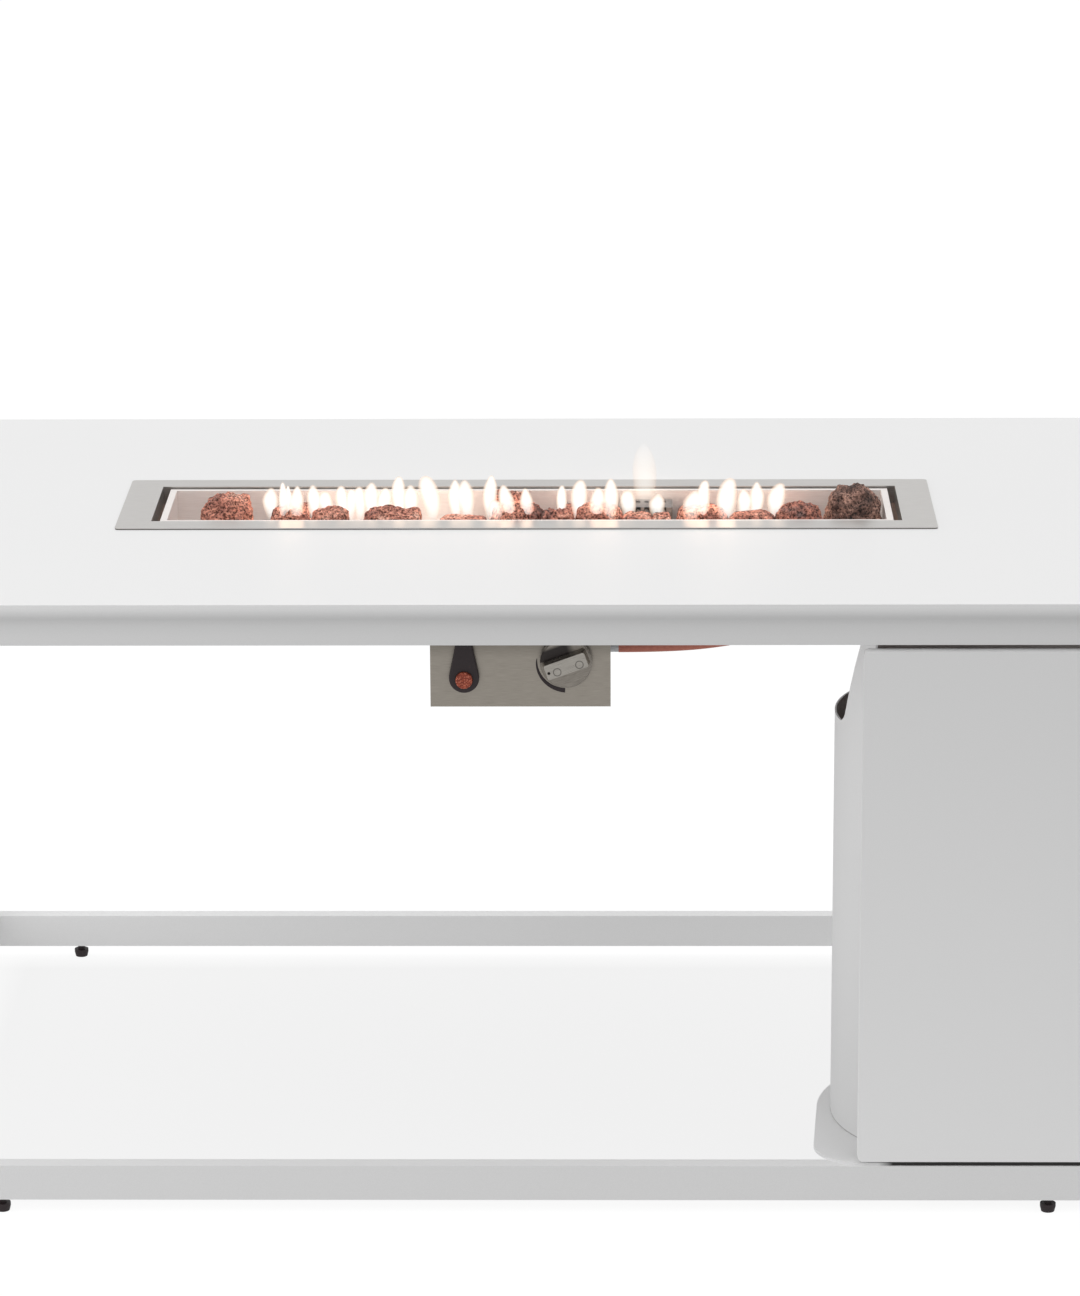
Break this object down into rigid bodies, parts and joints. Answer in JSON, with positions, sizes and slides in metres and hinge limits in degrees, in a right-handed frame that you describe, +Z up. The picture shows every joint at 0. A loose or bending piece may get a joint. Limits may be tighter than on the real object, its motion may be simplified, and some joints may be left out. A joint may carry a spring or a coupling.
{
  "type": "gas fire table",
  "caption": "White rectangular fire table with a linear gas burner and lava stones in its top, a control panel under the edge and a round gas bottle compartment with a door.",
  "frame": {"origin": "on the floor under the middle of the table top", "axes": "+X along the table's length towards the gas bottle compartment, -Y towards the side with the controls, +Z up"},
  "size_m": [1.45, 0.85, 0.704],
  "materials": {
    "white_top": "satin white powder coat",
    "white_frame": "satin white powder coat",
    "brushed_steel": "brushed",
    "burner_steel": "heat-dulled",
    "zinc_steel": "zinc plated",
    "black_plastic": "moulded, fine grain",
    "orange_plastic": "textured",
    "silver_knob": "satin silver",
    "brass": "turned",
    "cast_metal": "die cast",
    "orange_hose": "smooth",
    "lead_jacket": "smooth",
    "copper": "drawn tube",
    "ceramic": "unglazed",
    "lava_stone": "rough, porous",
    "nylon": "moulded",
    "battery": "plain sleeve"
  },
  "bodies": {
    "table": {"table_top": "white_top", "apron_front": "white_top", "apron_back": "white_top", "apron_left": "white_top", "apron_right": "white_top", "front_rail": "white_frame", "back_rail": "white_frame", "end_rails": "white_frame", "leg_front_left": "white_frame", "leg_front_right": "white_frame", "leg_back_left": "white_frame", "leg_back_right": "white_frame", "top_beams": "white_frame", "tank_bearers": "white_frame", "tank_base_plate": "white_frame", "tank_cover": "white_frame", "pivot_bracket": "white_frame", "burner_trim": "brushed_steel", "burner_tray": "brushed_steel", "control_panel": "brushed_steel", "pilot_hood": "brushed_steel", "burner_housing": "burner_steel", "tray_supports": "burner_steel", "burner_tube": "burner_steel", "tube_saddles": "burner_steel", "air_mixer": "burner_steel", "foot_inserts": "zinc_steel", "panel_screws": "zinc_steel", "cover_screws": "zinc_steel", "valve_spring": "zinc_steel", "button_spring": "zinc_steel", "hinge_pins": "zinc_steel", "igniter_bezel": "black_plastic", "igniter_module": "black_plastic", "hose_clip": "black_plastic", "magnet_catch": "black_plastic", "gas_jet": "brass", "gas_feed_pipe": "brass", "gas_valve": "cast_metal", "regulator": "cast_metal", "hose_fitting": "cast_metal", "gas_hose": "orange_hose", "igniter_lead": "lead_jacket", "thermocouple": "copper", "ignition_electrode": "ceramic", "lava_rocks": "lava_stone", "door_washer": "nylon", "igniter_battery": "battery"},
    "push_collar": {"push_collar": "zinc_steel"},
    "control_knob": {"control_knob": "silver_knob", "valve_stem": "zinc_steel"},
    "ignition_button": {"ignition_button": "orange_plastic"},
    "tank_door": {"tank_door": "white_frame", "door_bushes": "nylon", "catch_strike": "zinc_steel"},
    "union_nut": {"union_nut": "black_plastic"},
    "foot_front_left": {"foot_front_left": "black_plastic"},
    "foot_front_right": {"foot_front_right": "black_plastic"},
    "foot_back_left": {"foot_back_left": "black_plastic"},
    "foot_back_right": {"foot_back_right": "black_plastic"}
  },
  "joints": [
    {"name": "knob_push", "type": "slide", "parent": "table", "child": "push_collar", "axis": [0, 1, 0], "range_m": [0, 0.003], "stiffness_N_per_m": 1500, "springref_m": -0.002, "deforming": ["valve_spring"]},
    {"name": "knob_turn", "type": "hinge", "parent": "push_collar", "child": "control_knob", "pos_m": [0.0465, -0.36, 0.6015], "axis": [0, -1, 0], "range_deg": [-110, 70]},
    {"name": "ignition_press", "type": "slide", "parent": "table", "child": "ignition_button", "axis": [0, 1, 0], "range_m": [0, 0.003], "stiffness_N_per_m": 1000, "springref_m": -0.002, "deforming": ["button_spring"]},
    {"name": "door_swing", "type": "hinge", "parent": "table", "child": "tank_door", "pos_m": [0.621, -0.4175, 0.06], "axis": [0, 0, 1], "range_deg": [0, 110]},
    {"name": "nut_spin", "type": "hinge", "parent": "table", "child": "union_nut", "pos_m": [0.626, -0.2625, 0.07], "axis": [0, 0, 1], "continuous": true},
    {"name": "foot_front_left_screw", "type": "slide", "parent": "table", "child": "foot_front_left", "axis": [0, 0, 1], "range_m": [-0.01, 0]},
    {"name": "foot_front_right_screw", "type": "slide", "parent": "table", "child": "foot_front_right", "axis": [0, 0, 1], "range_m": [-0.01, 0]},
    {"name": "foot_back_left_screw", "type": "slide", "parent": "table", "child": "foot_back_left", "axis": [0, 0, 1], "range_m": [-0.01, 0]},
    {"name": "foot_back_right_screw", "type": "slide", "parent": "table", "child": "foot_back_right", "axis": [0, 0, 1], "range_m": [-0.01, 0]}
  ]
}
